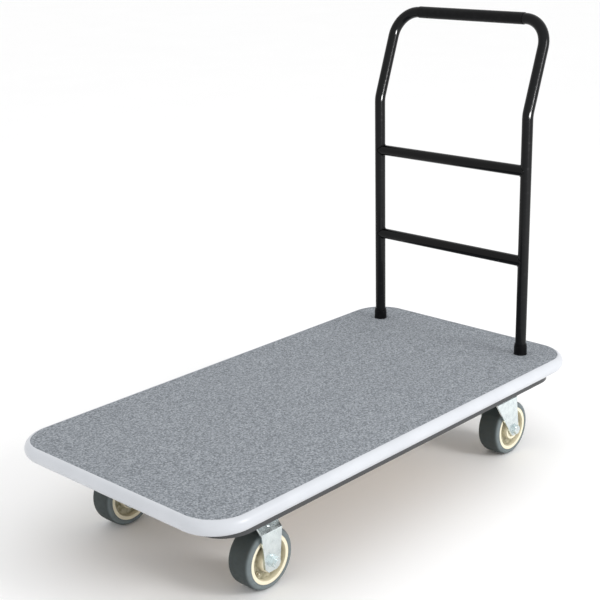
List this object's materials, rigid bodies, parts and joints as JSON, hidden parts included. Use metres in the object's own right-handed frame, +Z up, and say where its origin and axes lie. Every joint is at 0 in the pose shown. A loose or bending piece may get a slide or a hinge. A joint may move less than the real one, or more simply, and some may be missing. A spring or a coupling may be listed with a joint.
{
  "type": "platform cart",
  "caption": "Flat carpeted cart deck with a bumper round its edge, rigid and swivel casters below, and a bent tube push handle at one end.",
  "frame": {"origin": "on the floor, under the middle of the deck", "axes": "+X along the deck towards the handle end, +Y across it, +Z up"},
  "size_m": [1.1684, 0.6096, 1.0004],
  "materials": {
    "carpet": "grey heather needle-felt carpet",
    "plywood": "plain plywood",
    "bumper_vinyl": "pale grey-white vinyl, satin",
    "frame_paint": "dark grey powder coat",
    "handle_paint": "gloss black paint",
    "black_plastic": "black moulded plastic, satin",
    "tyre_rubber": "grey non-marking rubber",
    "hub_plastic": "cream moulded plastic",
    "bush_plastic": "natural nylon",
    "nipple_brass": "plated brass",
    "bright_steel": "turned steel, bright",
    "zinc_steel": "zinc plated, satin"
  },
  "bodies": {
    "deck": {"axle_bolt_front_left": "zinc_steel", "axle_bolt_front_right": "zinc_steel", "axle_nut_front_left": "zinc_steel", "axle_nut_front_right": "zinc_steel", "axle_sleeve_front_left": "bright_steel", "axle_sleeve_front_right": "bright_steel", "caster_bolts": "zinc_steel", "caster_crossmember_front": "frame_paint", "caster_crossmember_rear": "frame_paint", "caster_nuts": "zinc_steel", "deck_board": "plywood", "deck_carpet": "carpet", "deck_screws": "zinc_steel", "edge_bumper": "bumper_vinyl", "frame_rim": "frame_paint", "handle_collar_left": "black_plastic", "handle_collar_right": "black_plastic", "handle_crossmember": "frame_paint", "handle_socket_left": "frame_paint", "handle_socket_right": "frame_paint", "kingpin_left": "bright_steel", "kingpin_right": "bright_steel", "middle_crossmember": "frame_paint", "rigid_fork_left": "zinc_steel", "rigid_fork_right": "zinc_steel", "rigid_plate_left": "zinc_steel", "rigid_plate_right": "zinc_steel", "swivel_plate_left": "zinc_steel", "swivel_plate_right": "zinc_steel"},
    "swivel_left": {"swivel_fork_left": "zinc_steel", "swivel_balls_left": "bright_steel", "axle_sleeve_rear_left": "bright_steel", "axle_bolt_rear_left": "zinc_steel", "axle_nut_rear_left": "zinc_steel"},
    "swivel_right": {"swivel_fork_right": "zinc_steel", "swivel_balls_right": "bright_steel", "axle_sleeve_rear_right": "bright_steel", "axle_bolt_rear_right": "zinc_steel", "axle_nut_rear_right": "zinc_steel"},
    "wheel_front_left": {"tyre_front_left": "tyre_rubber", "wheel_hub_front_left": "hub_plastic", "wheel_bush_front_left": "bush_plastic", "grease_nipple_front_left": "nipple_brass"},
    "wheel_front_right": {"tyre_front_right": "tyre_rubber", "wheel_hub_front_right": "hub_plastic", "wheel_bush_front_right": "bush_plastic", "grease_nipple_front_right": "nipple_brass"},
    "wheel_rear_left": {"tyre_rear_left": "tyre_rubber", "wheel_hub_rear_left": "hub_plastic", "wheel_bush_rear_left": "bush_plastic", "grease_nipple_rear_left": "nipple_brass"},
    "wheel_rear_right": {"tyre_rear_right": "tyre_rubber", "wheel_hub_rear_right": "hub_plastic", "wheel_bush_rear_right": "bush_plastic", "grease_nipple_rear_right": "nipple_brass"},
    "handle": {"handle_tube": "handle_paint", "handle_crossbar_lower": "handle_paint", "handle_crossbar_upper": "handle_paint", "handle_end_plugs": "black_plastic", "handle_grip_sleeve": "black_plastic"}
  },
  "joints": [
    {"name": "wheel_front_left_spin", "type": "hinge", "parent": "deck", "child": "wheel_front_left", "pos_m": [-0.377, 0.2032, 0.0635], "axis": [0, 1, 0], "continuous": true},
    {"name": "swivel_left_turn", "type": "hinge", "parent": "deck", "child": "swivel_left", "pos_m": [0.397, 0.2032, 0.15], "axis": [0, 0, 1], "continuous": true},
    {"name": "wheel_rear_left_spin", "type": "hinge", "parent": "swivel_left", "child": "wheel_rear_left", "pos_m": [0.432, 0.2032, 0.0635], "axis": [0, 1, 0], "continuous": true},
    {"name": "wheel_front_right_spin", "type": "hinge", "parent": "deck", "child": "wheel_front_right", "pos_m": [-0.377, -0.2032, 0.0635], "axis": [0, 1, 0], "continuous": true},
    {"name": "swivel_right_turn", "type": "hinge", "parent": "deck", "child": "swivel_right", "pos_m": [0.397, -0.2032, 0.15], "axis": [0, 0, 1], "continuous": true},
    {"name": "wheel_rear_right_spin", "type": "hinge", "parent": "swivel_right", "child": "wheel_rear_right", "pos_m": [0.432, -0.2032, 0.0635], "axis": [0, 1, 0], "continuous": true},
    {"name": "handle_lift_out", "type": "slide", "parent": "deck", "child": "handle", "axis": [0, 0, 1], "range_m": [0, 0.1]}
  ]
}
